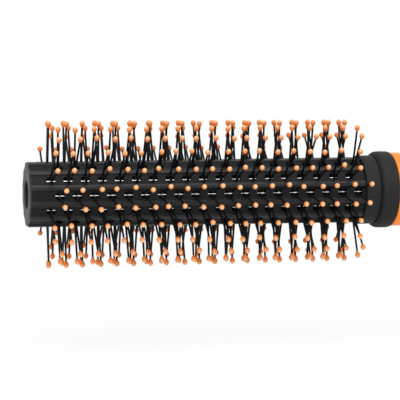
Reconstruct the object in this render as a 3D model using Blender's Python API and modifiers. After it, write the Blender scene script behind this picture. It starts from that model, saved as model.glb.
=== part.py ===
"""Round barrel brush: a slotted, fluted barrel with rows of ball-tipped twin pins, on a turned handle.

The brush lies along X with its open tip at -X and its handle at +X. The origin is on the axis at half length.
"""

import math

import bmesh
import bpy
from mathutils import Matrix, Vector

# Fits
SEAT_GAP = 0.0003  # between pieces that meet
ROW_GAP = 0.00008  # round each row wire, and between a pin and the edge of its slot

# Barrel
BARREL_RADIUS = 0.0120  # over the lands
BARREL_LENGTH = 0.1252
BARREL_WALL = 0.00105  # at the slotted flats
ROW_COUNT = 12
LAND_WIDTH = 0.0019  # crest of the raised land between two rows
FLANK_WIDTH = 0.0004
FLAT_DROP = 0.0005  # edges of a slotted flat below the lands

# Slots
FIRST_SLOT = 0.0084  # tip face to the middle of the first slot of an early row
SLOT_PITCH = 0.00617
SLOT_LENGTH = 0.0036
END_BAR = 0.0006  # least wall between the last slot and the end of the barrel

# Twin pins, on a strip under each row
PIN_ROOT_RADIUS = 0.0004
PIN_NECK_RADIUS = 0.00034
BEAD_RADIUS = 0.0010
BEAD_LENGTH = 0.0021
BEAD_CIRCLE = 0.02533  # radius of the circle on which the bead middles lie
PIN_SIDES = 3
STRIP_THICKNESS = 0.0010
STRIP_MARGIN = 0.0003  # strip beside the root of a pin
WIRE_RADIUS = 0.0002
WIRE_SIDES = 6

# End cap at the tip
CAP_THICKNESS = 0.0020
CAP_HOLE_RADIUS = 0.00535
CAP_PLUG_LENGTH = 0.0040  # tube that holds up the ends of the strips

# Spigot that joins the barrel to the handle
SPIGOT_WALL = 0.0016
SPIGOT_IN_BARREL = 0.0080
SPIGOT_IN_HANDLE = 0.0260
FLANGE_THICKNESS = 0.0015
FLANGE_STEP = 0.0014  # flange over the spigot

# Collar
NECK_STEP = 0.00075  # neck over the barrel
NECK_LENGTH = 0.0035
SHOULDER_STEP = 0.00145  # band over the neck
SHOULDER_LENGTH = 0.0018
CREASE_WIDTH = 0.0008
CREASE_DEPTH = 0.0004
BAND_LENGTH = 0.0058
BAND_ROUND = 0.0011  # rounded rear edge

# Handle
HANDLE_STEP = 0.0005  # handle below the collar's band
HANDLE_LENGTH = 0.1060
WAIST_DISTANCE = 0.0400  # from the collar
WAIST_WALL = 0.0017  # waist over the bore for the spigot
SWELL_DISTANCE = 0.0800
SWELL_RADIUS = 0.0120
BUTT_RADIUS = 0.0102
HOLLOW_RADIUS = 0.0060

# Butt cap
BUTT_LENGTH = 0.0062  # beyond the handle
BUTT_FLAT_RADIUS = 0.0045
BUTT_PLUG_LENGTH = 0.0120

# Fineness of the round pieces
TURN_STEPS = 32
ARC_STEPS = 5
HANDLE_STATIONS = 16

# What follows from the sizes above
ROW_ANGLE = 2 * math.pi / ROW_COUNT
PIN_SPLAY = ROW_ANGLE / 4  # tips of neighbouring pins are evenly spread round the barrel
FLANK_ANGLE = FLANK_WIDTH / BARREL_RADIUS
FLAT_HALF_ANGLE = ROW_ANGLE / 2 - LAND_WIDTH / 2 / BARREL_RADIUS - FLANK_ANGLE
FLAT_EDGE_RADIUS = BARREL_RADIUS - FLAT_DROP
FLAT_HEIGHT = FLAT_EDGE_RADIUS * math.cos(FLAT_HALF_ANGLE)
BORE_HEIGHT = FLAT_HEIGHT - BARREL_WALL  # axis to each flat of the many-sided bore
WIRE_HEIGHT = BORE_HEIGHT - ROW_GAP - WIRE_RADIUS
STRIP_TOP = WIRE_HEIGHT - WIRE_RADIUS - ROW_GAP
STRIP_BOTTOM = STRIP_TOP - STRIP_THICKNESS
PIN_HALF_WIDTH = PIN_ROOT_RADIUS * math.cos(math.pi / (2 * PIN_SIDES))
PIN_OFFSET = WIRE_RADIUS + ROW_GAP + PIN_HALF_WIDTH
BEAD_HEIGHT = BEAD_CIRCLE * math.cos(PIN_SPLAY)
BEAD_OFFSET = BEAD_CIRCLE * math.sin(PIN_SPLAY)
PIN_SLOPE = (BEAD_OFFSET - PIN_OFFSET) / (BEAD_HEIGHT - STRIP_TOP)
PIN_EDGE_AT_FLAT = PIN_OFFSET + (FLAT_HEIGHT - STRIP_TOP) * PIN_SLOPE + PIN_HALF_WIDTH
SLOT_HEIGHT = 2 * (PIN_EDGE_AT_FLAT + ROW_GAP)
LAST_SLOT_LIMIT = BARREL_LENGTH - END_BAR - SLOT_LENGTH / 2
SLOT_COUNT = 1 + int((LAST_SLOT_LIMIT - FIRST_SLOT - SLOT_PITCH / 2) / SLOT_PITCH)
SPIGOT_RADIUS = STRIP_BOTTOM - SEAT_GAP
FLANGE_RADIUS = SPIGOT_RADIUS + FLANGE_STEP
NECK_RADIUS = BARREL_RADIUS + NECK_STEP
BAND_RADIUS = NECK_RADIUS + SHOULDER_STEP
COLLAR_LENGTH = NECK_LENGTH + SHOULDER_LENGTH + CREASE_WIDTH + BAND_LENGTH
HANDLE_ROOT_RADIUS = BAND_RADIUS - HANDLE_STEP
WAIST_RADIUS = SPIGOT_RADIUS + SEAT_GAP + WAIST_WALL
OVERALL_LENGTH = BARREL_LENGTH + COLLAR_LENGTH + HANDLE_LENGTH + BUTT_LENGTH + 3 * SEAT_GAP
TIP_X = -OVERALL_LENGTH / 2
COLLAR_X = TIP_X + BARREL_LENGTH + SEAT_GAP
HANDLE_X = COLLAR_X + COLLAR_LENGTH + SEAT_GAP
BUTT_X = HANDLE_X + HANDLE_LENGTH + SEAT_GAP
ROW_START = TIP_X + CAP_THICKNESS + SEAT_GAP
ROW_END = TIP_X + BARREL_LENGTH


def clear_scene():
    for old in list(bpy.data.objects):
        bpy.data.objects.remove(old, do_unlink=True)


def new_collection(name):
    made = bpy.data.collections.new(name)
    bpy.context.scene.collection.children.link(made)
    return made


def new_material(name, colour, roughness, metallic):
    made = bpy.data.materials.new(name)
    made.use_nodes = True
    shader = made.node_tree.nodes["Principled BSDF"]
    shader.inputs["Base Color"].default_value = (*colour, 1.0)
    shader.inputs["Roughness"].default_value = roughness
    shader.inputs["Metallic"].default_value = metallic
    made.diffuse_color = (*colour, 1.0)
    return made


def place_part(name, mesh, material, collection):
    """Puts a mesh into the scene as a named sub-part."""
    part = bpy.data.objects.new(name, mesh)
    if not mesh.materials:
        mesh.materials.append(material)
    collection.objects.link(part)
    return part


def mesh_from(build, name):
    mesh = bpy.data.meshes.new(name)
    build.to_mesh(mesh)
    build.free()
    return mesh


def place_cutter(name, mesh, collection):
    cutter = bpy.data.objects.new(name, mesh)
    cutter.hide_render = True
    cutter.display_type = "WIRE"
    collection.objects.link(cutter)
    return cutter


def join_or_cut(part, tool, operation):
    boolean = part.modifiers.new(operation.lower(), "BOOLEAN")
    boolean.operation = operation
    boolean.solver = "EXACT"
    boolean.object = tool


def evaluated_mesh(part, name):
    """The part's mesh with its modifiers applied."""
    graph = bpy.context.evaluated_depsgraph_get()
    mesh = bpy.data.meshes.new_from_object(part.evaluated_get(graph))
    mesh.name = name
    return mesh


def arc(radius_middle, distance_middle, width, length, start, end):
    """Points of an elliptical arc in a turned profile, angles in degrees from straight outwards."""
    points = []
    for step in range(ARC_STEPS + 1):
        angle = math.radians(start + (end - start) * step / ARC_STEPS)
        points.append((radius_middle + width * math.cos(angle), distance_middle + length * math.sin(angle)))
    return points


def turned_part(name, profile, x, material, collection):
    """A closed profile of (radius, distance) points, from its far end back along its outer side, turned round X."""
    build = bmesh.new()
    corners = [build.verts.new((radius, 0.0, distance)) for radius, distance in profile]
    for first, second in zip(corners, corners[1:]):
        build.edges.new((first, second))
    if profile[0][0] > 0 or profile[-1][0] > 0:
        build.edges.new((corners[-1], corners[0]))
    part = place_part(name, mesh_from(build, name), material, collection)
    part.location = (x, 0.0, 0.0)
    part.rotation_euler = (0.0, math.pi / 2, 0.0)
    screw = part.modifiers.new("turn", "SCREW")
    screw.axis = "Z"
    screw.angle = 2 * math.pi
    screw.steps = TURN_STEPS
    screw.render_steps = TURN_STEPS
    screw.use_merge_vertices = True
    screw.merge_threshold = 0.00001
    return part


def slot_middles(row):
    """Distances of a row's slots from the tip face. Every other row starts half a pitch later."""
    start = FIRST_SLOT + (SLOT_PITCH / 2 if row % 2 else 0.0)
    return [start + SLOT_PITCH * index for index in range(SLOT_COUNT)]


def polar(radius, angle):
    return (radius * math.cos(angle), radius * math.sin(angle), 0.0)


def add_outline(curve, points):
    spline = curve.splines.new("POLY")
    spline.points.add(len(points) - 1)
    for target, point in zip(spline.points, points):
        target.co = (*point, 1.0)
    spline.use_cyclic_u = True


def barrel_tube():
    """Fluted outline with a many-sided bore, drawn out along the axis."""
    outline = []
    bore = []
    for row in range(ROW_COUNT):
        middle = row * ROW_ANGLE
        crest = FLAT_HALF_ANGLE + FLANK_ANGLE
        outline.append(polar(FLAT_EDGE_RADIUS, middle - FLAT_HALF_ANGLE))
        outline.append(polar(FLAT_EDGE_RADIUS, middle + FLAT_HALF_ANGLE))
        outline.append(polar(BARREL_RADIUS, middle + crest))
        outline.append(polar(BARREL_RADIUS, middle + ROW_ANGLE - crest))
        bore.append(polar(BORE_HEIGHT / math.cos(ROW_ANGLE / 2), middle + ROW_ANGLE / 2))
    curve = bpy.data.curves.new("barrel_outline", "CURVE")
    curve.dimensions = "2D"
    curve.fill_mode = "BOTH"
    curve.extrude = BARREL_LENGTH / 2
    add_outline(curve, outline)
    add_outline(curve, bore)
    drawn = bpy.data.objects.new("barrel_outline", curve)
    bpy.context.scene.collection.objects.link(drawn)
    mesh = evaluated_mesh(drawn, "barrel")
    bpy.data.objects.remove(drawn, do_unlink=True)
    build = bmesh.new()
    build.from_mesh(mesh)
    bmesh.ops.remove_doubles(build, verts=build.verts, dist=0.000001)
    build.to_mesh(mesh)
    build.free()
    return mesh


def slot_cutters():
    """One box for each slot, through one wall of the barrel."""
    build = bmesh.new()
    depth = 2 * BARREL_WALL
    for row in range(ROW_COUNT):
        turn = Matrix.Rotation(row * ROW_ANGLE, 4, "X")
        size = Matrix.Diagonal((SLOT_LENGTH, SLOT_HEIGHT, depth, 1.0))
        for distance in slot_middles(row):
            middle = Vector((TIP_X + distance, 0.0, FLAT_HEIGHT - BARREL_WALL / 2))
            bmesh.ops.create_cube(build, size=1.0, matrix=turn @ Matrix.Translation(middle) @ size)
    return mesh_from(build, "slots")


def make_barrel(material, parts, cutters):
    barrel = place_part("barrel", barrel_tube(), material, parts)
    barrel.location = (TIP_X + BARREL_LENGTH / 2, 0.0, 0.0)
    barrel.rotation_euler = (0.0, math.pi / 2, 0.0)
    join_or_cut(barrel, place_cutter("slot_cutters", slot_cutters(), cutters), "DIFFERENCE")


def pin_mesh():
    """One pin standing on the origin: a slightly tapered shaft, flared into its bead at the end."""
    root_depth = STRIP_THICKNESS / 2
    reach = math.hypot(BEAD_HEIGHT - STRIP_TOP, BEAD_OFFSET - PIN_OFFSET)
    shaft = reach - BEAD_LENGTH / 2 + root_depth
    build = bmesh.new()
    bmesh.ops.create_cone(
        build,
        cap_ends=True,
        segments=PIN_SIDES,
        radius1=PIN_ROOT_RADIUS,
        radius2=PIN_NECK_RADIUS,
        depth=shaft,
        matrix=Matrix.Translation((0.0, 0.0, shaft / 2 - root_depth)) @ Matrix.Rotation(math.pi / 2, 4, "Z"),
    )
    end = max(build.faces, key=lambda face: face.calc_center_median().z)
    flared = bmesh.ops.extrude_discrete_faces(build, faces=[end])["faces"][0]
    flare = BEAD_RADIUS / PIN_NECK_RADIUS
    bmesh.ops.scale(build, verts=flared.verts, vec=(flare, flare, 1.0))
    bmesh.ops.translate(build, verts=flared.verts, vec=(0.0, 0.0, BEAD_LENGTH))
    return mesh_from(build, "pin")


def strip_mesh(row, cutters):
    """A flat strip with a twin pin at each slot, one leg on either side of the row wire."""
    strip_width = 2 * (PIN_OFFSET + PIN_HALF_WIDTH + STRIP_MARGIN)
    middle = Vector(((ROW_START + ROW_END) / 2, 0.0, STRIP_TOP - STRIP_THICKNESS / 2))
    size = Matrix.Diagonal((ROW_END - ROW_START, strip_width, STRIP_THICKNESS, 1.0))
    bar = bmesh.new()
    bmesh.ops.create_cube(bar, size=1.0, matrix=Matrix.Translation(middle) @ size)
    blank = place_cutter("strip_blank", mesh_from(bar, "strip_blank"), cutters)
    pin = pin_mesh()
    pins = bmesh.new()
    for distance in slot_middles(row):
        for side in (-1, 1):
            lean = Matrix.Rotation(-side * math.atan(PIN_SLOPE), 4, "X")
            root = Vector((TIP_X + distance, side * PIN_OFFSET, STRIP_TOP))
            start = len(pins.verts)
            pins.from_mesh(pin)
            pins.verts.ensure_lookup_table()
            bmesh.ops.transform(pins, verts=pins.verts[start:], matrix=Matrix.Translation(root) @ lean)
    join_or_cut(blank, place_cutter("strip_pins", mesh_from(pins, "strip_pins"), cutters), "UNION")
    return evaluated_mesh(blank, "pin_strip")


def make_rows(pin_material, wire_material, parts, cutters):
    """A pin strip and a row wire for each row, all turned from the row at the top."""
    early_and_late = [strip_mesh(0, cutters), strip_mesh(1, cutters)]
    wire_length = ROW_END - ROW_START
    wire_middle = Matrix.Translation(((ROW_START + ROW_END) / 2, 0.0, WIRE_HEIGHT))
    build = bmesh.new()
    bmesh.ops.create_cone(
        build,
        cap_ends=True,
        segments=WIRE_SIDES,
        radius1=WIRE_RADIUS,
        radius2=WIRE_RADIUS,
        depth=wire_length,
        matrix=wire_middle @ Matrix.Rotation(math.pi / 2, 4, "Y"),
    )
    wire_mesh = mesh_from(build, "row_wire")
    for row in range(ROW_COUNT):
        number = f"{row + 1:02d}"
        strip = place_part("pin_strip_" + number, early_and_late[row % 2], pin_material, parts)
        wire = place_part("row_wire_" + number, wire_mesh, wire_material, parts)
        strip.rotation_euler.x = row * ROW_ANGLE
        wire.rotation_euler.x = row * ROW_ANGLE


def make_end_cap(material, parts):
    """A disc in the mouth of the barrel, with an air hole and a short tube under the strip ends."""
    disc_radius = BORE_HEIGHT - SEAT_GAP
    tube_end = CAP_THICKNESS + CAP_PLUG_LENGTH
    profile = [
        (SPIGOT_RADIUS, tube_end),
        (SPIGOT_RADIUS, CAP_THICKNESS),
        (disc_radius, CAP_THICKNESS),
        (disc_radius, 0.0),
        (CAP_HOLE_RADIUS, 0.0),
        (CAP_HOLE_RADIUS, tube_end),
    ]
    turned_part("end_cap", profile, TIP_X, material, parts)


def make_spigot(material, parts):
    """A tube from the barrel into the handle, with a flange that the collar holds against the strip ends."""
    inner = SPIGOT_RADIUS - SPIGOT_WALL
    far_end = COLLAR_LENGTH + SEAT_GAP + SPIGOT_IN_HANDLE
    profile = [
        (SPIGOT_RADIUS, far_end),
        (SPIGOT_RADIUS, FLANGE_THICKNESS),
        (FLANGE_RADIUS, FLANGE_THICKNESS),
        (FLANGE_RADIUS, 0.0),
        (SPIGOT_RADIUS, 0.0),
        (SPIGOT_RADIUS, -SPIGOT_IN_BARREL),
        (inner, -SPIGOT_IN_BARREL),
        (inner, far_end),
    ]
    turned_part("spigot", profile, COLLAR_X, material, parts)


def make_collar(material, parts):
    """A ring with a plain neck, a rounded shoulder, a crease and a band with a rounded rear edge."""
    crease_end = COLLAR_LENGTH - BAND_LENGTH
    crease_start = crease_end - CREASE_WIDTH
    rear_round = arc(BAND_RADIUS - BAND_ROUND, COLLAR_LENGTH - BAND_ROUND, BAND_ROUND, BAND_ROUND, 90, 0)
    shoulder = arc(BAND_RADIUS - SHOULDER_STEP, crease_start, SHOULDER_STEP, SHOULDER_LENGTH, 0, -90)
    bore = SPIGOT_RADIUS + SEAT_GAP
    recess = FLANGE_RADIUS + SEAT_GAP
    recess_depth = FLANGE_THICKNESS + SEAT_GAP
    profile = [
        *rear_round,
        (BAND_RADIUS, crease_end),
        (BAND_RADIUS - CREASE_DEPTH, (crease_start + crease_end) / 2),
        *shoulder,
        (NECK_RADIUS, 0.0),
        (recess, 0.0),
        (recess, recess_depth),
        (bore, recess_depth),
        (bore, COLLAR_LENGTH),
    ]
    turned_part("collar", profile, COLLAR_X, material, parts)


def handle_radius(distance):
    """Collar, waist, swell and butt radii, joined by half waves of a cosine."""
    stations = [
        (0.0, HANDLE_ROOT_RADIUS),
        (WAIST_DISTANCE, WAIST_RADIUS),
        (SWELL_DISTANCE, SWELL_RADIUS),
        (HANDLE_LENGTH, BUTT_RADIUS),
    ]
    for (start, first), (end, second) in zip(stations, stations[1:]):
        if distance <= end:
            share = (distance - start) / (end - start)
            return first + (second - first) * (1 - math.cos(math.pi * share)) / 2
    return BUTT_RADIUS


def make_handle(material, parts):
    """A waisted grip, bored for the spigot and hollow behind it."""
    bore = SPIGOT_RADIUS + SEAT_GAP
    bore_depth = SPIGOT_IN_HANDLE + SEAT_GAP
    profile = []
    for station in range(HANDLE_STATIONS + 1):
        distance = HANDLE_LENGTH * (1 - station / HANDLE_STATIONS)
        profile.append((handle_radius(distance), distance))
    profile += [
        (bore, 0.0),
        (bore, bore_depth),
        (HOLLOW_RADIUS, bore_depth),
        (HOLLOW_RADIUS, HANDLE_LENGTH),
    ]
    turned_part("handle", profile, HANDLE_X, material, parts)


def make_butt_cap(material, parts):
    """A domed cap with a small flat, on a plug that closes the hollow of the handle."""
    plug_radius = HOLLOW_RADIUS - SEAT_GAP
    dome = arc(BUTT_FLAT_RADIUS, 0.0, BUTT_RADIUS - BUTT_FLAT_RADIUS, BUTT_LENGTH, 90, 0)
    profile = [
        (0.0, BUTT_LENGTH),
        *dome,
        (plug_radius, 0.0),
        (plug_radius, -BUTT_PLUG_LENGTH),
        (0.0, -BUTT_PLUG_LENGTH),
    ]
    turned_part("butt_cap", profile, BUTT_X, material, parts)


def main():
    clear_scene()
    parts = new_collection("round_barrel_brush")
    cutters = new_collection("cutters")
    black_plastic = new_material("black_plastic", (0.028, 0.028, 0.029), 0.42, 0.0)
    black_nylon = new_material("black_nylon", (0.018, 0.018, 0.019), 0.38, 0.0)
    wire_steel = new_material("wire_steel", (0.80, 0.80, 0.79), 0.28, 1.0)
    orange_plastic = new_material("orange_plastic", (0.92, 0.26, 0.035), 0.24, 0.0)
    make_barrel(black_plastic, parts, cutters)
    make_rows(black_nylon, wire_steel, parts, cutters)
    make_end_cap(black_plastic, parts)
    make_spigot(black_plastic, parts)
    make_collar(black_plastic, parts)
    make_handle(orange_plastic, parts)
    make_butt_cap(black_plastic, parts)


main()
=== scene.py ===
import math

import bmesh
import bpy
import numpy as np
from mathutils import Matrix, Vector


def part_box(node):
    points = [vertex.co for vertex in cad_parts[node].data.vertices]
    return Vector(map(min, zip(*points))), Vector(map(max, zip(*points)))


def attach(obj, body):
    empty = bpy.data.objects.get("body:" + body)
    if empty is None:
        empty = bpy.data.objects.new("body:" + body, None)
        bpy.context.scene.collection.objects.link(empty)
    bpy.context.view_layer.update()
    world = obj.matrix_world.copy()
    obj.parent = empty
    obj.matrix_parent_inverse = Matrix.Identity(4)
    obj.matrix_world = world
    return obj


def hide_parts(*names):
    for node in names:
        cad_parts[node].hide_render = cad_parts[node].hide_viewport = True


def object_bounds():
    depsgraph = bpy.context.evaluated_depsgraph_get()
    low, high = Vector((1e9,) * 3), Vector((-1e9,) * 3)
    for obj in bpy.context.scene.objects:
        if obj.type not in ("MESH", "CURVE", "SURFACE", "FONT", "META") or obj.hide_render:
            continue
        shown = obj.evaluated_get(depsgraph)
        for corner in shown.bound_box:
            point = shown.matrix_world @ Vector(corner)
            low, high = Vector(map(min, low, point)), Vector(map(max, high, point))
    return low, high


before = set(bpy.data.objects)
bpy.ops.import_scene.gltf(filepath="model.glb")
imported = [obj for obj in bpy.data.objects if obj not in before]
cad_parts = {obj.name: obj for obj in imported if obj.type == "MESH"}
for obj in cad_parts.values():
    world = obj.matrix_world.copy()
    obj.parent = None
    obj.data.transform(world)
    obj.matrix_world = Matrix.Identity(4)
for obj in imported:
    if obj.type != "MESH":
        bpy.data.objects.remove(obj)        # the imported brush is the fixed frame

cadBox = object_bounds()
scene = bpy.context.scene
scene.view_settings.view_transform = "Standard"
print("frame:", len(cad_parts), "nodes")


class Lead:
    # a shader socket that takes part in arithmetic: each operator adds one Math node
    def __init__(self, wiring, socket):
        self.wiring = wiring
        self.socket = socket

    def maths(self, operation, first, second):
        return self.wiring.node("ShaderNodeMath", {"operation": operation}, {0: first, 1: second})

    def __add__(self, other):
        return self.maths("ADD", self, other)

    def __radd__(self, other):
        return self.maths("ADD", other, self)

    def __sub__(self, other):
        return self.maths("SUBTRACT", self, other)

    def __rsub__(self, other):
        return self.maths("SUBTRACT", other, self)

    def __mul__(self, other):
        return self.maths("MULTIPLY", self, other)

    def __rmul__(self, other):
        return self.maths("MULTIPLY", other, self)


class Wiring:
    # the nodes of a material or of the world
    def __init__(self, tree):
        self.tree = tree

    def join(self, target, value):
        if isinstance(value, Lead):
            self.tree.links.new(value.socket, target)
        else:
            target.default_value = value

    def node(self, kind, settings, sockets, output=0):
        made = self.tree.nodes.new(kind)
        for key, value in settings.items():
            setattr(made, key, value)
        for key, value in sockets.items():
            self.join(made.inputs[key], value)
        return Lead(self, made.outputs[output])

    def plainRays(self):
        # 1 on a ray from the camera, off a glossy surface or through a clear one, else 0
        kinds = ("Is Camera Ray", "Is Glossy Ray", "Is Transmission Ray")
        camera, glossy, clear = (self.node("ShaderNodeLightPath", {}, {}, kind) for kind in kinds)
        return camera + glossy + clear


class Finish(Wiring):
    # one material, with the textures that the finishes share
    def __init__(self, name):
        self.material = bpy.data.materials.new(name)
        self.material.use_nodes = True
        super().__init__(self.material.node_tree)
        self.shader = self.tree.nodes["Principled BSDF"]

    def feed(self, sockets):
        for key, value in sockets.items():
            self.join(self.shader.inputs[key], value)

    def objectPoint(self, scale=(1.0, 1.0, 1.0)):
        point = self.node("ShaderNodeTexCoord", {}, {}, "Object")
        return self.node("ShaderNodeMapping", {}, {"Vector": point, "Scale": scale})

    def noise(self, point, scale, detail=3.0, roughness=0.55):
        return self.node("ShaderNodeTexNoise", {}, {
            "Vector": point, "Scale": scale, "Detail": detail, "Roughness": roughness})

    def spread(self, value, low, high):
        # brings the range from low to high to the full 0 to 1, cut off at both ends
        return self.node("ShaderNodeMapRange", {"clamp": True}, {
            "Value": value, "From Min": low, "From Max": high})

    def cloud(self, point, scale, detail=3.0):
        # soft patches: noise whose middle range fills 0 to 1
        return self.spread(self.noise(point, scale, detail), 0.3, 0.7)

    def mark(self, name):
        # a number that the piece carries at each of its points
        return self.node("ShaderNodeAttribute", {"attribute_name": name}, {}, "Fac")

    def colour(self, value):
        return value if isinstance(value, Lead) else (*value, 1.0)

    def tint(self, factor, first, second):
        return self.node("ShaderNodeMix", {"data_type": "RGBA"}, {
            0: factor, 6: self.colour(first), 7: self.colour(second)}, 2)

    def relief(self, height, strength, distance):
        return self.node("ShaderNodeBump", {}, {
            "Strength": strength, "Distance": distance, "Height": height})


moulding = {
    "patchScale": 110.0,
    "rubScale": 420.0,
    "rubbedAndPaintedHighlight": (0.030, 0.030, 0.031),  # colour of plastic that is rubbed; on rounded lips it is also a painted highlight
    "polishRoughness": 0.36,
    "relief": 0.35,
}


def blackMoulding(name, look):
    # moulded plastic: cloudy black with a fine grain, polished and paler where the mark says it is worn;
    # on rounded lips the mark also paints a highlight as paler colour
    finish = Finish(name)
    point = finish.objectPoint()
    cloud = finish.cloud(point, moulding["patchScale"])
    grain = finish.noise(point, look["grainScale"], 2.0, 0.6)
    wearAndPaintedHighlight = finish.mark("wearAndPaintedHighlight")
    # paler patches from wear, and a painted highlight where the mark covers a rounded lip
    rubbedAndPaintedHighlight = wearAndPaintedHighlight * finish.spread(finish.noise(point, moulding["rubScale"]), 0.35, 0.75)
    body = finish.tint(cloud, look["dark"], look["light"])
    finish.feed({
        "Base Color": finish.tint(look["fade"] * rubbedAndPaintedHighlight, body, moulding["rubbedAndPaintedHighlight"]),
        "Roughness": look["roughness"] + 0.12 * cloud + 0.10 * grain - 0.10 * rubbedAndPaintedHighlight,
        "Specular IOR Level": look["shine"],
        "Coat Weight": look["polish"] * wearAndPaintedHighlight,
        "Coat Roughness": moulding["polishRoughness"],
        "Normal": finish.relief(grain + 0.5 * cloud, moulding["relief"], look["grainDepth"]),
    })
    return finish.material


nylon = {
    "dark": (0.0026, 0.0028, 0.0036),
    "light": (0.0058, 0.0060, 0.0070),
    "patchScale": 260.0,
    "grainScale": 3200.0,
    "grainDepth": 0.00004,
    "relief": 0.25,
    "roughness": 0.34,
    "shine": 0.13,
}


def pinNylon():
    # drawn nylon: near black and faintly cloudy, with a soft shine
    finish = Finish("pinNylon")
    point = finish.objectPoint()
    cloud = finish.cloud(point, nylon["patchScale"])
    grain = finish.noise(point, nylon["grainScale"], 2.0, 0.6)
    finish.feed({
        "Base Color": finish.tint(cloud, nylon["dark"], nylon["light"]),
        "Roughness": nylon["roughness"] + 0.14 * cloud + 0.08 * grain,
        "Specular IOR Level": nylon["shine"],
        "Normal": finish.relief(grain, nylon["relief"], nylon["grainDepth"]),
    })
    return finish.material


resin = {
    "neck": (0.71, 0.155, 0.015),
    # pale colour at the far end of each tip: a painted highlight
    "drop": (0.78, 0.515, 0.262),
    "haze": (0.80, 0.360, 0.130),
    "hazeShare": 0.20,
    "patchScale": 380.0,
    "rippleScale": 1500.0,
    "rippleDepth": 0.00005,
    "relief": 0.15,
    "roughness": 0.24,
    "shine": 0.22,
    "polish": 0.30,
    "polishRoughness": 0.15,
}


def tipResin():
    # dipped tip: deeper orange at the neck, glossier towards the far end, and paler there as a painted
    # highlight
    finish = Finish("tipResin")
    point = finish.objectPoint()
    cloud = finish.cloud(point, resin["patchScale"])
    along = finish.mark("along")
    wide = along * along
    # share of the painted highlight at the far end, which also sets the real gloss of the coat
    paintedHighlightAndGloss = wide * wide
    body = finish.tint(paintedHighlightAndGloss, resin["neck"], resin["drop"])
    ripple = finish.noise(point, resin["rippleScale"], 2.0)
    finish.feed({
        "Base Color": finish.tint(resin["hazeShare"] * cloud, body, resin["haze"]),
        "Roughness": resin["roughness"] + 0.14 * cloud,
        "Specular IOR Level": resin["shine"],
        "Coat Weight": 0.04 + resin["polish"] * paintedHighlightAndGloss,
        "Coat Roughness": resin["polishRoughness"],
        "Normal": finish.relief(ripple, resin["relief"], resin["rippleDepth"]),
    })
    return finish.material


satin = {
    "deep": (0.88, 0.225, 0.030),
    "bright": (0.92, 0.270, 0.040),
    "scuffed": (0.92, 0.31, 0.06),
    "scuffShare": 0.25,
    "scuffScale": 240.0,
    "flowScale": (14.0, 70.0, 70.0),  # longest along the handle
    "dimpleScale": 900.0,
    "dimpleDepth": 0.00008,
    "relief": 0.12,
    "roughness": 0.40,
    "shine": 0.14,
    "polish": 0.03,
    "polishRoughness": 0.12,
}


def handlePlastic():
    # satin orange grip: faint flow lines along the handle, a slightly dimpled skin and a few scuffs
    finish = Finish("handlePlastic")
    flow = finish.cloud(finish.objectPoint(satin["flowScale"]), 1.0, 4.0)
    point = finish.objectPoint()
    dimple = finish.noise(point, satin["dimpleScale"], 2.0)
    scuff = finish.spread(finish.noise(point, satin["scuffScale"], 5.0, 0.7), 0.55, 0.8)
    colour = finish.tint(flow, satin["deep"], satin["bright"])
    finish.feed({
        "Base Color": finish.tint(satin["scuffShare"] * scuff, colour, satin["scuffed"]),
        "Roughness": satin["roughness"] + 0.10 * scuff + 0.05 * flow,
        "Specular IOR Level": satin["shine"],
        "Coat Weight": satin["polish"] - 0.02 * scuff,
        "Coat Roughness": satin["polishRoughness"],
        "Normal": finish.relief(dimple + 0.4 * scuff, satin["relief"], satin["dimpleDepth"]),
    })
    return finish.material


steel = {
    "dark": (0.90, 0.90, 0.89),
    "light": (0.97, 0.97, 0.96),
    "lineScale": (60.0, 5200.0, 5200.0),  # longest along the wire
    "lineDepth": 0.00001,
    "relief": 0.05,
    "roughness": 0.08,
}


def drawnSteel():
    # bright drawn wire: fine lines along its length
    finish = Finish("drawnSteel")
    lines = finish.noise(finish.objectPoint(steel["lineScale"]), 1.0)
    finish.feed({
        "Base Color": finish.tint(lines, steel["dark"], steel["light"]),
        "Metallic": 1.0,
        "Roughness": steel["roughness"] + 0.08 * lines,
        "Normal": finish.relief(lines, steel["relief"], steel["lineDepth"]),
    })
    return finish.material


barrelBlack = blackMoulding("barrelBlack", {
    "dark": (0.0086, 0.0086, 0.0089), "light": (0.0126, 0.0126, 0.0129), "fade": 0.30,
    "roughness": 0.40, "shine": 0.10, "polish": 0.34, "grainScale": 2400.0, "grainDepth": 0.00006})
collarBlack = blackMoulding("collarBlack", {
    "dark": (0.0160, 0.0160, 0.0162), "light": (0.0205, 0.0205, 0.0206), "fade": 0.30,
    "roughness": 0.56, "shine": 0.12, "polish": 0.06, "grainScale": 1900.0, "grainDepth": 0.00005})
innerBlack = blackMoulding("innerBlack", {
    "dark": (0.0060, 0.0060, 0.0063), "light": (0.0100, 0.0100, 0.0102), "fade": 0.0,
    "roughness": 0.45, "shine": 0.20, "polish": 0.0, "grainScale": 1700.0, "grainDepth": 0.00006})
nylonBlack = pinNylon()
tipOrange = tipResin()
gripOrange = handlePlastic()
steelBright = drawnSteel()
print("finishes:", len(bpy.data.materials))


roundSteps = 6  # points on each rounded corner of an outline
weldDistance = 1e-7
nearly = 1e-6  # slack when places on a grid are compared
placeDecimals = 7  # places along X that agree this far are one line of a grid


def polarPoints(x, radius, angle):
    # a point at its radius from the X axis, its angle counted from straight up (+Z) to the front (-Y)
    x, radius, angle = np.broadcast_arrays(x, radius, angle)
    return np.stack((x, -radius * np.sin(angle), radius * np.cos(angle)), axis=-1)


def gridFaces(lines, columns, closeLines=False):
    # quads between neighbouring grid points: columns run right round, and lines may close too
    line = np.arange(lines if closeLines else lines - 1)[:, None]
    column = np.arange(columns)[None, :]
    nextLine, nextColumn = (line + 1) % lines * columns, (column + 1) % columns
    line = line * columns
    corners = (line + column, line + nextColumn, nextLine + nextColumn, nextLine + column)
    return np.stack(np.broadcast_arrays(*corners), axis=-1).reshape(-1, 4)


def manyGrids(copies, lines, columns):
    # the same grid's quads for each copy, its points stored one copy after the other
    steps = np.arange(copies)[:, None, None] * lines * columns
    return (gridFaces(lines, columns)[None] + steps).reshape(-1, 4)


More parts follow.
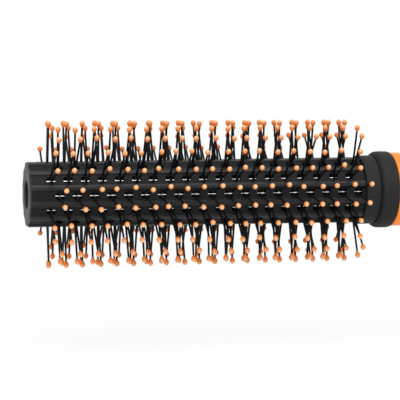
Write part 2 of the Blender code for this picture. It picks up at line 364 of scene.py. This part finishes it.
def makePiece(name, points, faces, finish, replaced, marks, sharpAngle=40.0):
    # points and faces become one closed, smooth piece that rides on the brush and carries its marks
    mesh = bpy.data.meshes.new(name)
    mesh.from_pydata(points.reshape(-1, 3).tolist(), [], faces.tolist())
    for markName, values in marks.items():
        layer = mesh.attributes.new(markName, "FLOAT", "POINT")
        layer.data.foreach_set("value", np.ravel(values).astype(np.float32))
    shell = bmesh.new()
    shell.from_mesh(mesh)
    bmesh.ops.remove_doubles(shell, verts=shell.verts, dist=weldDistance)  # closes seams and poles
    bmesh.ops.recalc_face_normals(shell, faces=shell.faces)
    shell.to_mesh(mesh)
    shell.free()
    mesh.shade_smooth()
    mesh.set_sharp_from_angle(angle=math.radians(sharpAngle))
    mesh.materials.append(finish)
    piece = bpy.data.objects.new(name, mesh)
    scene.collection.objects.link(piece)
    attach(piece, "root")
    if replaced:
        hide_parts(*replaced)
    return piece


def roundedPath(corners, rounds, steps=roundSteps):
    # each corner becomes a quadratic curve between points a set distance back along its two sides
    corners = np.array(corners, float)
    before, after = np.roll(corners, 1, axis=0) - corners, np.roll(corners, -1, axis=0) - corners
    before /= np.linalg.norm(before, axis=1, keepdims=True)
    after /= np.linalg.norm(after, axis=1, keepdims=True)
    back = np.array(rounds, float)[:, None]
    start, end = (corners + before * back)[:, None], (corners + after * back)[:, None]
    t = np.linspace(0.0, 1.0, steps)[None, :, None]
    curve = (1 - t) ** 2 * start + 2 * t * (1 - t) * corners[:, None] + t ** 2 * end
    return curve.reshape(-1, 2)


def waveBetween(low, high, share):
    # half a cosine wave from low to high
    return low + (high - low) * (1 - np.cos(math.pi * np.clip(share, 0.0, 1.0))) / 2


def turnedPiece(name, profile, wearAndPaintedHighlight, sides, closed, finish, replaced):
    # a profile of (x, radius) points carried once round the X axis, each with its share of wear and
    # painted highlight
    angle = np.linspace(0.0, 2 * math.pi, sides, endpoint=False)
    points = polarPoints(profile[:, :1], profile[:, 1:], angle[None, :])
    faces = gridFaces(len(profile), sides, closed)
    return makePiece(name, points, faces, finish, replaced, {"wearAndPaintedHighlight": np.repeat(wearAndPaintedHighlight, sides)})


barrel = {
    "rows": 12,
    "landRadius": 0.0120,
    "flatEdgeRadius": 0.0115,
    "wall": 0.00105,
    "landWidth": 0.0019,
    "flankWidth": 0.0002,
    "flankSoftness": math.radians(0.35),
    "flankSteps": 4,
    "firstSlot": 0.0084,
    "slotPitch": 0.00617,
    "slots": 19,
    "slotLength": 0.0034,
    "slotHeight": 0.0024,
    "slotCorner": 0.0009,
    "cornerShare": 0.29,  # how far a slot's corner point moves in, against the rounding of the corner
    "draft": 0.0044,  # rise of the outside per length, which lets the moulding leave its mould
    "draftMiddle": -0.0850,  # where the outside has its even radius
    "tipTrim": 0.0008,  # the worn tip face lies this far inside the solid's
    "tipRound": 0.0007,
    "tipSteps": 5,
    "tipBand": 0.0035,  # plain stretch before the first slots
    "faceWear": 0.5,  # wear of the end face, and of the lip round it, against that of the lands; the lip is paler as a painted highlight
    "lipPaintedHighlight": 1.2,
    "sharpAngle": 42.0,
}
rowAngle = 2 * math.pi / barrel["rows"]
flankAngle = barrel["flankWidth"] / barrel["landRadius"]
flatHalf = rowAngle / 2 - barrel["landWidth"] / 2 / barrel["landRadius"] - flankAngle
flatHeight = barrel["flatEdgeRadius"] * math.cos(flatHalf)
boreHeight = flatHeight - barrel["wall"]
slotHalf = math.atan(barrel["slotHeight"] / 2 / flatHeight)
flankStart = flatHalf - barrel["flankSoftness"]
flankEnd = flatHalf + flankAngle + barrel["flankSoftness"]
barrelLow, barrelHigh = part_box("barrel")
tipX, barrelEnd = barrelLow.x + barrel["tipTrim"], barrelHigh.x
# middle of the first slot in an early row and in a late one
slotStarts = barrelLow.x + barrel["firstSlot"] + np.array([0.0, barrel["slotPitch"] / 2])


def slotOffset(x, late):
    # distance along X from the nearest slot of an early or late row, and whether there is such a slot
    along = (x - slotStarts[late]) / barrel["slotPitch"]
    nearest = np.rint(along)
    return (along - nearest) * barrel["slotPitch"], (nearest >= 0) & (nearest < barrel["slots"])


def rowColumns():
    # angles across one row from its middle: each side has the slot's corner and edge, flank and land
    slotInner = math.atan((barrel["slotHeight"] / 2 - barrel["slotCorner"]) / flatHeight)
    flank = np.linspace(flankStart, flankEnd, barrel["flankSteps"] + 2)
    side = np.concatenate(([slotInner, slotHalf], flank, [rowAngle / 2]))
    return np.concatenate((-side[-2::-1], side))


def lengthLines():
    # places along X: ends and inner corners of every slot, ends of the tip's rounding and band, far end
    half, corner = barrel["slotLength"] / 2, barrel["slotCorner"]
    cuts = np.array([-half, corner - half, half - corner, half])
    middles = slotStarts[:, None] + barrel["slotPitch"] * np.arange(barrel["slots"])
    ends = [tipX + barrel["tipRound"], tipX + barrel["tipBand"], barrelEnd]
    places = np.concatenate(((middles[..., None] + cuts).ravel(), ends))
    return np.unique(np.round(places, placeDecimals))


def slotWalls(opened, top, bottom):
    # quads through the thickness, from outside points to bore points, along each edge of an open cell
    padded = np.pad(opened, ((1, 1), (0, 0)))
    line, column = np.nonzero(padded[1:] != padded[:-1])
    after = (column + 1) % opened.shape[1]
    endWalls = (top[line, column], top[line, after], bottom[line, after], bottom[line, column])
    line, column = np.nonzero(opened != np.roll(opened, 1, axis=1))
    after = line + 1
    sideWalls = (top[line, column], top[after, column], bottom[after, column], bottom[line, column])
    return np.concatenate((np.stack(endWalls, axis=1), np.stack(sideWalls, axis=1)))


def makeBarrel():
    period, x = rowColumns(), lengthLines()
    row = np.repeat(np.arange(barrel["rows"]), len(period))
    offset = np.tile(period, barrel["rows"])
    lines, columns = len(x), len(offset)
    late, half = row % 2, barrel["slotLength"] / 2

    # the four corner points of a slot move in along both ways, which rounds the corner
    away, real = slotOffset(x[:, None], late[None, :])
    atEnd = real & np.isclose(np.abs(away), half, atol=nearly)
    atSide = np.isclose(np.abs(offset), slotHalf, atol=nearly)
    inwards = barrel["cornerShare"] * barrel["slotCorner"] * (atEnd & atSide)
    gridX = x[:, None] - np.sign(away) * inwards
    gridOffset = offset[None, :] - np.sign(offset)[None, :] * inwards / flatHeight
    angle = row[None, :] * rowAngle + gridOffset

    # outside: flat across each slotted row, rising by a smooth step to the round land between rows
    rise = np.clip((np.abs(gridOffset) - flankStart) / (flankEnd - flankStart), 0.0, 1.0)
    rise = rise * rise * (3 - 2 * rise)
    outer = flatHeight / np.cos(gridOffset) * (1 - rise) + barrel["landRadius"] * rise
    outer += barrel["draft"] * (gridX - barrel["draftMiddle"])
    inner = boreHeight / np.cos(gridOffset)

    # rounded tip: a quarter circle from the end face to the outside
    turn = np.linspace(math.pi / 2, 0.0, barrel["tipSteps"], endpoint=False)[:, None]
    tipRadius = outer[0] - barrel["tipRound"] * (1 - np.cos(turn))
    tipAlong = np.broadcast_to(tipX + barrel["tipRound"] * (1 - np.sin(turn)), tipRadius.shape)
    tipAngle = np.broadcast_to(angle[0], tipRadius.shape)

    # wear: full on the lands, some on the end face, and a lip along the middle of the rounding, a sine,
    # which is a painted highlight as well as polish
    lip = barrel["lipPaintedHighlight"] * np.sin(2 * turn)
    tipWearAndPaintedHighlight = np.maximum(rise[0], barrel["faceWear"] * np.sin(turn) + lip)
    faceWorn = np.full((1, columns), barrel["faceWear"])

    # one closed skin: bore from the handle end to the tip, end face, rounded tip, outside back again
    points = np.concatenate((
        polarPoints(gridX, inner, angle)[::-1],
        polarPoints(tipX, inner[0], angle[0])[None],
        polarPoints(tipAlong, tipRadius, tipAngle),
        polarPoints(gridX, outer, angle),
    ))
    wearAndPaintedHighlight = np.concatenate((np.zeros((lines, columns)), faceWorn, tipWearAndPaintedHighlight, rise))

    # cells inside a slot are left open on both sides, and walls join their edges through the thickness
    away, real = slotOffset((x[:-1, None] + x[1:, None]) / 2, late[None, :])
    inSlot = np.abs(offset) <= slotHalf + nearly
    opened = real & (np.abs(away) < half) & (inSlot & np.roll(inSlot, -1))[None, :]
    total, outside = len(points), len(points) - lines
    keep = np.ones((total, columns), bool)
    keep[outside:total - 1] &= ~opened
    keep[:lines - 1] &= ~opened[::-1]
    skin = gridFaces(total, columns, True)[keep.ravel()]
    number = np.arange(total * columns).reshape(total, columns)
    faces = np.concatenate((skin, slotWalls(opened, number[outside:], number[:lines][::-1])))
    return makePiece("barrelShell", points, faces, barrelBlack, ["barrel"],
                     {"wearAndPaintedHighlight": wearAndPaintedHighlight}, barrel["sharpAngle"])


print("barrel:", len(makeBarrel().data.polygons), "faces")


pinRow = {
    "rootRadius": 0.00043,
    "neckRadius": 0.00036,
    "rootOffset": 0.00066,
    "rootDepth": 0.0005,
    "tipCircle": 0.02533,
    "stations": (0.0, 0.3, 0.65, 1.0),  # shares of a shaft at which it has a ring
    "sides": 8,
    "leanAlong": 0.00042,  # usual lean of a pin at its tip
    "leanAcross": 0.00030,
    "leanMost": 0.0010,
    "seed": 2265,
}
strip = {
    "width": 0.0025,
    "thickness": 0.0010,
    "round": 0.00025,
    "roundSteps": 3,
}
pinTip = {
    "radius": 0.00102,
    "length": 0.00290,
    "neckShare": 0.50,  # neck end of the drop against a full round end
    "widening": 1.3,  # stretch over which the drop gains its full width, against half its length
    "sides": 10,
    "rings": 7,
}
rowWire = {
    "radius": 0.00030,
    "sides": 10,
    "sink": 0.00015,  # its middle under the inside of the barrel's wall
}
wireHeight = boreHeight - rowWire["sink"]
stripLow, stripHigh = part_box("pin_strip_01")
stripBottom = stripLow.z
stripTop = stripBottom + strip["thickness"]


def rowFrame(row):
    # along the brush, sideways across the row, and straight out of it
    angle = row * rowAngle
    return np.array([
        (1.0, 0.0, 0.0),
        (0.0, math.cos(angle), math.sin(angle)),
        (0.0, -math.sin(angle), math.cos(angle)),
    ])


def rodPoints(start, end, distance, radius, sides, beside):
    # rods from start to end: at each distance along a rod, a ring of its radius square to it
    axis = end - start
    axis = axis / np.linalg.norm(axis, axis=-1, keepdims=True)
    across = np.cross(axis, beside)
    across = across / np.linalg.norm(across, axis=-1, keepdims=True)
    other = np.cross(axis, across)
    turn = np.linspace(0.0, 2 * math.pi, sides, endpoint=False)[None, None, :, None]
    ring = np.cos(turn) * across[:, None, None, :] + np.sin(turn) * other[:, None, None, :]
    centre = start[:, None, :] + axis[:, None, :] * distance[..., None]
    return centre[:, :, None, :] + ring * radius[..., None, None]


def stripPoints():
    # a bar with rounded edges: its outline carried along X, drawn in to its middle at both ends
    half = strip["width"] / 2
    corners = [(-half, stripBottom), (half, stripBottom), (half, stripTop), (-half, stripTop)]
    outline = roundedPath(corners, [strip["round"]] * len(corners), strip["roundSteps"])
    middle = outline.mean(axis=0)
    share = np.array([0.0, 1.0, 1.0, 0.0])[:, None, None]
    along = np.array([stripLow.x, stripLow.x, stripHigh.x, stripHigh.x])[:, None]
    section = middle + (outline - middle)[None] * share
    return np.concatenate((np.broadcast_to(along, section.shape[:2])[..., None], section), axis=-1)


def pinEnds(row, draw):
    # roots on the strip, tips on their circle a quarter row angle to either side, with a small lean
    x = slotStarts[row % 2] + barrel["slotPitch"] * np.arange(barrel["slots"])
    x, side = np.repeat(x, 2), np.tile([-1.0, 1.0], barrel["slots"])
    lean = draw.normal(0.0, (pinRow["leanAlong"], pinRow["leanAcross"]), (len(x), 2))
    lean = np.clip(lean, -pinRow["leanMost"], pinRow["leanMost"])
    circle = pinRow["tipCircle"]
    angle = side * rowAngle / 4 + lean[:, 1] / circle
    root = np.stack((x, side * pinRow["rootOffset"], np.full(len(x), stripTop)), axis=-1)
    end = np.stack((x + lean[:, 0], circle * np.sin(angle), circle * np.cos(angle)), axis=-1)
    return root, end


def makePins(row, root, end):
    # each shaft tapers evenly from the strip to inside its tip and is closed at both ends
    share = np.pad(pinRow["stations"], 1, mode="edge")
    opening = np.pad(np.ones(len(pinRow["stations"])), 1)  # no width at the two closing points
    depth = pinRow["rootDepth"]
    reach = np.linalg.norm(end - root, axis=-1)[:, None]
    distance = -depth + (reach + depth) * share
    radius = pinRow["rootRadius"] + (pinRow["neckRadius"] - pinRow["rootRadius"]) * share
    radius = np.broadcast_to(radius * opening, distance.shape)
    shafts = rodPoints(root, end, distance, radius, pinRow["sides"], (1.0, 0.0, 0.0))
    bar = stripPoints()
    points = np.concatenate((shafts.reshape(-1, 3), bar.reshape(-1, 3))) @ rowFrame(row)
    faces = np.concatenate((manyGrids(*shafts.shape[:3]), gridFaces(*bar.shape[:2]) + shafts.size // 3))
    number = f"{row + 1:02d}"
    makePiece("pinRow" + number, points, faces, nylonBlack, ["pin_strip_" + number], {})


def makeTips(row, root, end):
    # each tip is a drop: an ellipse along the pin that narrows towards the neck
    swing = np.sin(np.linspace(-math.pi / 2, math.pi / 2, pinTip["rings"]))
    reach = np.linalg.norm(end - root, axis=-1)[:, None]
    distance = reach + pinTip["length"] / 2 * swing
    narrow = waveBetween(pinTip["neckShare"], 1.0, (swing + 1) / pinTip["widening"])
    radius = np.broadcast_to(pinTip["radius"] * np.sqrt(1 - swing ** 2) * narrow, distance.shape)
    drops = rodPoints(root, end, distance, radius, pinTip["sides"], (1.0, 0.0, 0.0))
    along = np.broadcast_to(((swing + 1) / 2)[None, :, None], drops.shape[:3])
    points, faces = drops @ rowFrame(row), manyGrids(*drops.shape[:3])
    makePiece(f"tipRow{row + 1:02d}", points, faces, tipOrange, [], {"along": along})


def makeWire(row):
    # a thin rod along the row, between the two legs of each pair of pins
    start = np.array([[stripLow.x, 0.0, wireHeight]])
    end = np.array([[stripHigh.x, 0.0, wireHeight]])
    length = stripHigh.x - stripLow.x
    distance = np.array([[0.0, 0.0, length, length]])
    radius = rowWire["radius"] * np.array([[0.0, 1.0, 1.0, 0.0]])
    rod = rodPoints(start, end, distance, radius, rowWire["sides"], (0.0, 1.0, 0.0))
    points, faces = rod @ rowFrame(row), manyGrids(*rod.shape[:3])
    number = f"{row + 1:02d}"
    makePiece("rowWire" + number, points, faces, steelBright, ["row_wire_" + number], {})


draw = np.random.default_rng(pinRow["seed"])
for row in range(barrel["rows"]):
    root, end = pinEnds(row, draw)
    makePins(row, root, end)
    makeTips(row, root, end)
    makeWire(row)
print("rows:", barrel["rows"], "of", 2 * barrel["slots"], "pins")


endCap = {
    "holeRadius": 0.00535,
    "holeRound": 0.0006,
    "edgeRound": 0.0003,
    "edgeLap": 0.0003,  # of the disc over the flats of the bore, which hides the seam
    "proud": 0.00003,  # disc face in front of the barrel's
    "discThickness": 0.0020,
    "lipPaintedHighlight": 0.9,  # polish of the rounded lip of the hole, and its paler colour, a painted highlight
    "tubeGap": 0.0003,  # between its tube and the strips
    "tubeRound": 0.0002,
    "sides": 64,
}


def makeEndCap():
    # a disc with a hole and a tube behind it: an outline with rounded corners, carried round the X axis
    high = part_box("end_cap")[1]
    discRadius, tubeRadius = boreHeight + endCap["edgeLap"], stripBottom - endCap["tubeGap"]
    face, shoulder = tipX - endCap["proud"], tipX + endCap["discThickness"]
    corners = [
        (face, endCap["holeRadius"]), (face, discRadius), (shoulder, discRadius),
        (shoulder, tubeRadius), (high.x, tubeRadius), (high.x, endCap["holeRadius"])]
    lip, edge, tube = endCap["holeRound"], endCap["edgeRound"], endCap["tubeRound"]
    profile = roundedPath(corners, [lip, edge, 0.0, 0.0, tube, tube])
    wearAndPaintedHighlight = np.zeros(len(profile))
    wearAndPaintedHighlight[:2 * roundSteps] = barrel["faceWear"]  # the first two corners and the face between them
    # the hole's lip: more polish, and a paler colour that is a painted highlight
    wearAndPaintedHighlight[1:roundSteps - 1] = endCap["lipPaintedHighlight"]
    turnedPiece("endCapDisc", profile, wearAndPaintedHighlight, endCap["sides"], True,
                barrelBlack, ["end_cap"])


makeEndCap()


collar = {
    "neckRadius": 0.01290,
    "footDistance": 0.00590,  # front of the solid collar to the foot of its flare
    "creaseWidth": 0.0006,
    "creaseDepth": 0.00050,
    "flareLength": 0.0018,
    "bandSwell": 0.00015,  # band over the solid one
    "bandReach": 0.0006,  # its rear face past the solid one
    "bandCrown": 0.00008,
    "bandRound": 0.0009,
    "frontRound": 0.00015,
    "frontGap": 0.00040,  # hair line between barrel and collar
    "register": 0.0110,  # radius of the step that closes the hair line and meets the barrel
    "clearance": 0.00001,
    "recessWidth": 0.0014,
    "recessDepth": 0.0018,
    "creaseSteps": 9,
    "flareSteps": 13,
    "bandSteps": 7,
    "rearSteps": 9,
    "neckWear": 0.3,
    "bandWear": 0.15,
    "rearWear": 0.5,
    "sides": 96,
}


def makeCollar():
    low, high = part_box("collar")
    bandRadius, neck = high.z + collar["bandSwell"], collar["neckRadius"]
    bore, recess = stripBottom, stripBottom + collar["recessWidth"]
    frontX = barrelEnd + collar["frontGap"]
    footX = low.x + collar["footDistance"]
    creaseX, flareEnd = footX - collar["creaseWidth"], footX + collar["flareLength"]
    foot = neck - collar["creaseDepth"]
    rearX = high.x + collar["bandReach"]
    bandEnd = rearX - collar["bandRound"]
    # front: only the rounded middle corner of its outline
    corners = [(frontX, recess), (frontX, neck), (creaseX, neck)]
    front = roundedPath(corners, [0.0, collar["frontRound"], 0.0])[roundSteps:2 * roundSteps]
    # crease: half a cosine wave from the neck down to the foot
    share = np.linspace(0.0, 1.0, collar["creaseSteps"])
    crease = np.stack((creaseX + collar["creaseWidth"] * share, waveBetween(neck, foot, share)), axis=-1)
    # flare: a quarter ellipse, steep at the foot and level where it meets the band
    turn = np.linspace(0.0, math.pi / 2, collar["flareSteps"])[1:]
    flare = np.stack((
        flareEnd - collar["flareLength"] * np.cos(turn),
        foot + (bandRadius - foot) * np.sin(turn)), axis=-1)
    # band: a slight crown, then a quarter circle down to the rear face
    share = np.linspace(0.0, 1.0, collar["bandSteps"])[1:]
    band = np.stack((
        flareEnd + (bandEnd - flareEnd) * share,
        bandRadius + collar["bandCrown"] * np.sin(math.pi * share)), axis=-1)
    turn = np.linspace(0.0, math.pi / 2, collar["rearSteps"])[1:]
    rear = np.stack((
        bandEnd + collar["bandRound"] * np.sin(turn),
        bandRadius - collar["bandRound"] * (1 - np.cos(turn))), axis=-1)
    recessX = frontX + collar["recessDepth"]
    stepX, step = barrelEnd + collar["clearance"], collar["register"]
    inside = np.array([
        (rearX, bore), (recessX, bore), (recessX, recess),
        (stepX, recess), (stepX, step), (frontX, step)])
    profile = np.concatenate((front, crease, flare, band, rear, inside))
    wear = collar["neckWear"]
    wearAndPaintedHighlight = np.concatenate((
        np.full(len(front), wear), np.linspace(wear, 0.0, len(crease)),
        np.linspace(0.0, wear, len(flare)), np.full(len(band), collar["bandWear"]),
        np.full(len(rear), collar["rearWear"]), np.zeros(len(inside))))
    turnedPiece("collarRing", profile, wearAndPaintedHighlight, collar["sides"], True,
                collarBlack, ["collar"])


makeCollar()


handle = {
    "rootRadius": 0.0139,
    "waistDistance": 0.0400,
    "waistRadius": 0.010462,
    "swellDistance": 0.0800,
    "swellRadius": 0.0120,
    "buttRadius": 0.0102,
    "hollowRadius": 0.0060,
    "boreDepth": 0.0263,
    "endRound": 0.0004,
    "frontTrim": 0.0004,  # room for the band, which reaches past the solid one
    "endSteps": 6,
    "stations": 72,
    "sides": 96,
}


def handleRadius(distance, length):
    # root, waist, swell and butt radii, joined by half waves of a cosine
    waist, swell = handle["waistDistance"], handle["swellDistance"]
    narrow, wide = handle["waistRadius"], handle["swellRadius"]
    first = waveBetween(handle["rootRadius"], narrow, distance / waist)
    second = waveBetween(narrow, wide, (distance - waist) / (swell - waist))
    third = waveBetween(wide, handle["buttRadius"], (distance - swell) / (length - swell))
    return np.where(distance < waist, first, np.where(distance < swell, second, third))


def makeHandle():
    low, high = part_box("handle")
    start, length, edge = handle["frontTrim"], high.x - low.x, handle["endRound"]
    distance = np.linspace(start + edge, length - edge, handle["stations"])
    radius = handleRadius(distance, length)
    # both ends: a quarter circle down to the end face
    turn = np.linspace(0.0, math.pi / 2, handle["endSteps"])[:-1]
    drop = edge * (1 - np.sin(turn))
    frontEnd = np.stack((start + edge - edge * np.cos(turn), radius[0] - drop), axis=-1)
    rearEnd = np.stack((length - edge + edge * np.cos(turn), radius[-1] - drop), axis=-1)[::-1]
    hollow, depth, bore = handle["hollowRadius"], handle["boreDepth"], stripBottom
    inside = np.array([(length, hollow), (depth, hollow), (depth, bore), (start, bore)])
    outside = np.stack((distance, radius), axis=-1)
    profile = np.concatenate((frontEnd, outside, rearEnd, inside)) + (low.x, 0.0)
    wearAndPaintedHighlight = np.zeros(len(profile))
    turnedPiece("handleGrip", profile, wearAndPaintedHighlight, handle["sides"], True,
                gripOrange, ["handle"])


makeHandle()


buttCap = {
    "length": 0.0062,
    "flatRadius": 0.0045,
    "plugRadius": 0.0057,
    "plugRound": 0.0004,
    "domeSteps": 16,
    "rimWear": 0.5,
    "endWear": 0.1,
    "sides": 96,
}


def makeButtCap():
    low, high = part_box("butt_cap")
    face, flat, plugRadius = high.x - buttCap["length"], buttCap["flatRadius"], buttCap["plugRadius"]
    # dome: a quarter ellipse from the rim to the small flat at the end
    turn = np.linspace(0.0, math.pi / 2, buttCap["domeSteps"])
    dome = np.stack((
        face + buttCap["length"] * np.sin(turn),
        flat + (high.z - flat) * np.cos(turn)), axis=-1)
    corners = [(low.x, 0.0), (low.x, plugRadius), (face, plugRadius), (face, high.z)]
    plug = roundedPath(corners, [0.0, buttCap["plugRound"], 0.0, 0.0])
    profile = np.concatenate((plug, dome, [(high.x, 0.0)]))
    domeWorn = np.linspace(buttCap["rimWear"], buttCap["endWear"], len(dome))
    wearAndPaintedHighlight = np.concatenate((np.zeros(len(plug)), domeWorn, [buttCap["endWear"]]))
    turnedPiece("buttCapDome", profile, wearAndPaintedHighlight, buttCap["sides"], False,
                collarBlack, ["butt_cap"])


makeButtCap()

# the spigot keeps its solid, which is hidden inside
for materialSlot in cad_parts["spigot"].material_slots:
    materialSlot.material = innerBlack
print("end cap, collar, handle and butt cap made")


stage = {
    "floorSize": 40.0,
    "floorGap": 0.0300,  # clear space under the lowest tips
    "floorDark": (0.910, 0.910, 0.910),
    "floorPale": (0.925, 0.925, 0.925),
    "paperScale": 60.0,
    "paperRoughness": 0.9,
    "paperShine": 0.1,
    "shadowShare": 0.12,  # how much of the lit floor shows under the brush; the rest is plain white
    "shadowStart": 0.12,
    "shadowReach": 0.45,  # distance at which the floor has become plain white
    "worldLight": 0.71,
    "whiteLevel": 1.0,  # of the plain background
}


def makeFloor():
    # paper that shows its shadow faintly near the brush and turns to plain white further out
    half, level = stage["floorSize"] / 2, cadBox[0].z - stage["floorGap"]
    corners = [(-half, -half, level), (half, -half, level), (half, half, level), (-half, half, level)]
    mesh = bpy.data.meshes.new("floor")
    mesh.from_pydata(corners, [], [(0, 1, 2, 3)])
    floor = bpy.data.objects.new("floor", mesh)
    scene.collection.objects.link(floor)
    finish = Finish("floorPaper")
    point = finish.objectPoint()
    fibre = finish.noise(point, stage["paperScale"], 4.0)
    finish.feed({
        "Base Color": finish.tint(fibre, stage["floorDark"], stage["floorPale"]),
        "Roughness": stage["paperRoughness"],
        "Specular IOR Level": stage["paperShine"],
    })
    distance = finish.node("ShaderNodeVectorMath", {"operation": "LENGTH"}, {0: point}, "Value")
    near = 1 - finish.spread(distance, stage["shadowStart"], stage["shadowReach"])
    white = finish.node("ShaderNodeEmission", {}, {"Strength": stage["whiteLevel"]})
    mixed = finish.node("ShaderNodeMixShader", {}, {
        0: finish.plainRays() * (1 - stage["shadowShare"] * near),
        1: Lead(finish, finish.shader.outputs[0]),
        2: white,
    })
    finish.join(finish.tree.nodes["Material Output"].inputs["Surface"], mixed)
    mesh.materials.append(finish.material)


def makeWorld():
    # plain white behind the brush and in its reflections, an even soft light everywhere else
    world = bpy.data.worlds.new("studio")
    world.use_nodes = True
    scene.world = world
    wiring = Wiring(world.node_tree)
    white = (1.0, 1.0, 1.0, 1.0)
    soft = wiring.node("ShaderNodeBackground", {}, {"Color": white, "Strength": stage["worldLight"]})
    plain = wiring.node("ShaderNodeBackground", {}, {"Color": white, "Strength": stage["whiteLevel"]})
    mixed = wiring.node("ShaderNodeMixShader", {}, {0: wiring.plainRays(), 1: soft, 2: plain})
    wiring.join(world.node_tree.nodes["World Output"].inputs["Surface"], mixed)


softboxes = [
    {"name": "frontSoftbox", "place": (-0.55, -0.72, 0.16), "aim": (-0.06, 0.0, 0.0),
     "size": 0.34, "power": 1.8},
    {"name": "topSoftbox", "place": (-0.05, -0.36, 0.62), "aim": (-0.05, 0.0, 0.0),
     "size": 0.70, "power": 3.8},
]


def makeLights():
    for box in softboxes:
        lamp = bpy.data.lights.new(box["name"], "AREA")
        lamp.shape = "SQUARE"
        lamp.size = box["size"]
        lamp.energy = box["power"]
        holder = bpy.data.objects.new(box["name"], lamp)
        holder.location = box["place"]
        towards = Vector(box["aim"]) - Vector(box["place"])
        holder.rotation_euler = towards.to_track_quat("-Z", "Y").to_euler()
        scene.collection.objects.link(holder)


photoCamera = {
    "aim": (-0.06046, -0.00152, -0.00283),
    "azimuth": -13.3,
    "elevation": 3.98,
    "distance": 0.600,
    "lens": 146.85,
    "sensor": 36.0,
    "clipStart": 0.01,
}


def makeCamera():
    # looks at its aim from a distance, turned by the azimuth and raised by the elevation
    azimuth, elevation = math.radians(photoCamera["azimuth"]), math.radians(photoCamera["elevation"])
    level = math.cos(elevation)
    back = Vector((math.sin(azimuth) * level, -math.cos(azimuth) * level, math.sin(elevation)))
    lens = bpy.data.cameras.new("photoCamera")
    lens.lens = photoCamera["lens"]
    lens.sensor_width = photoCamera["sensor"]
    lens.clip_start = photoCamera["clipStart"]
    camera = bpy.data.objects.new("photoCamera", lens)
    camera.location = Vector(photoCamera["aim"]) + back * photoCamera["distance"]
    camera.rotation_euler = back.to_track_quat("Z", "Y").to_euler()
    scene.collection.objects.link(camera)
    scene.camera = camera


makeFloor()
makeWorld()
makeLights()
makeCamera()
print("floor, lights and camera placed")
